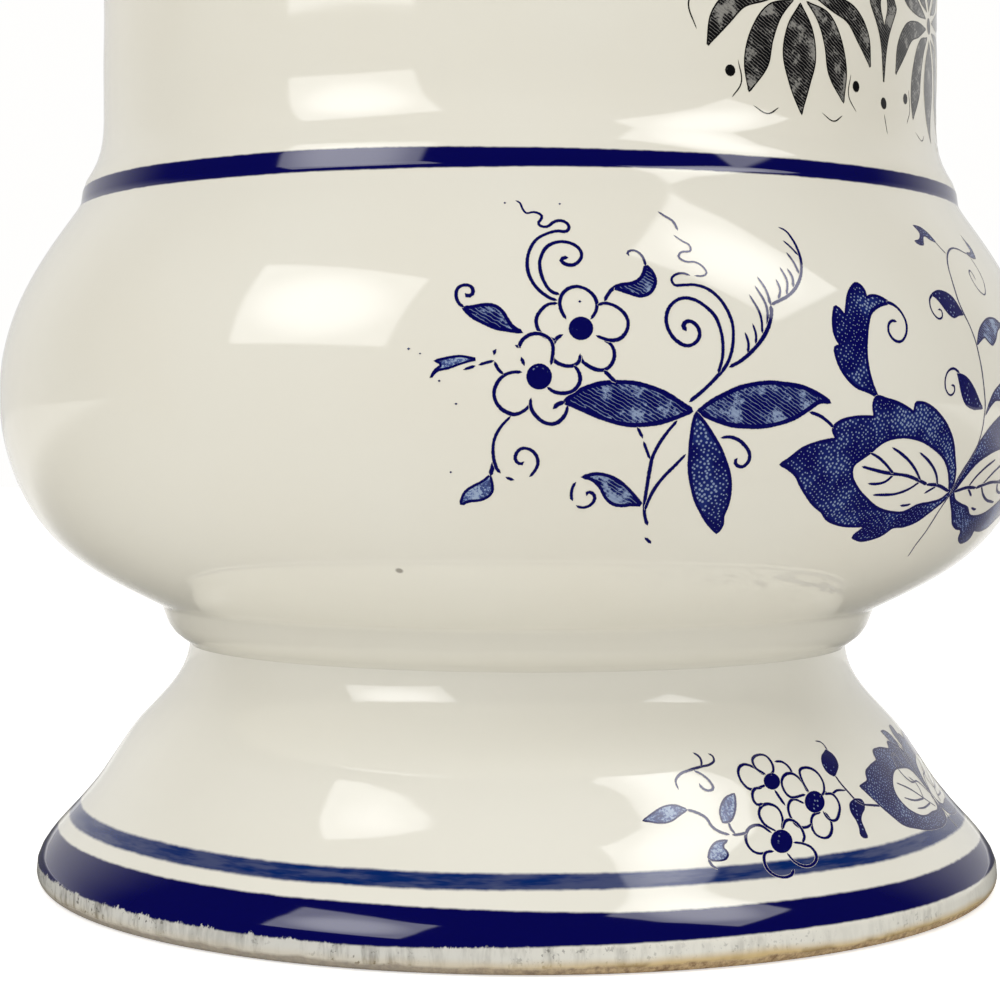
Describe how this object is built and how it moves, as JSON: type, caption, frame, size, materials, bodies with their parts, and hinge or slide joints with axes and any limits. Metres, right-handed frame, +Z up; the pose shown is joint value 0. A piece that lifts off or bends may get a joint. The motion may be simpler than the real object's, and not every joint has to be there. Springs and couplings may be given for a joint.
{
  "type": "cookie jar",
  "caption": "Footed earthenware cookie jar: bell foot, collared belly, straight neck band and a domed lift-off lid with a ball knob.",
  "frame": {"origin": "centre of the foot ring's resting plane", "axes": "+Z up along the jar's turning axis; -Y is the front, where the label panel sits; +X is the jar's right side seen from the front"},
  "size_m": [0.19, 0.19, 0.2581],
  "materials": {
    "cream_glaze": "clear glossy glaze over a cream earthenware body, banded in cobalt blue",
    "cobalt_glaze": "glossy cobalt blue underglaze colour",
    "cobalt_print": "hatched and stippled cobalt blue print under the clear glaze",
    "black_print": "black print under the clear glaze"
  },
  "bodies": {
    "jar": {"pedestal_foot": "cream_glaze", "vessel": "cream_glaze"},
    "lid": {"lid_cover": "cream_glaze", "lid_knob": "cobalt_glaze"}
  },
  "joints": [
    {"name": "lid_lift", "type": "slide", "parent": "jar", "child": "lid", "axis": [0, 0, 1], "range_m": [0, 0.12]}
  ]
}
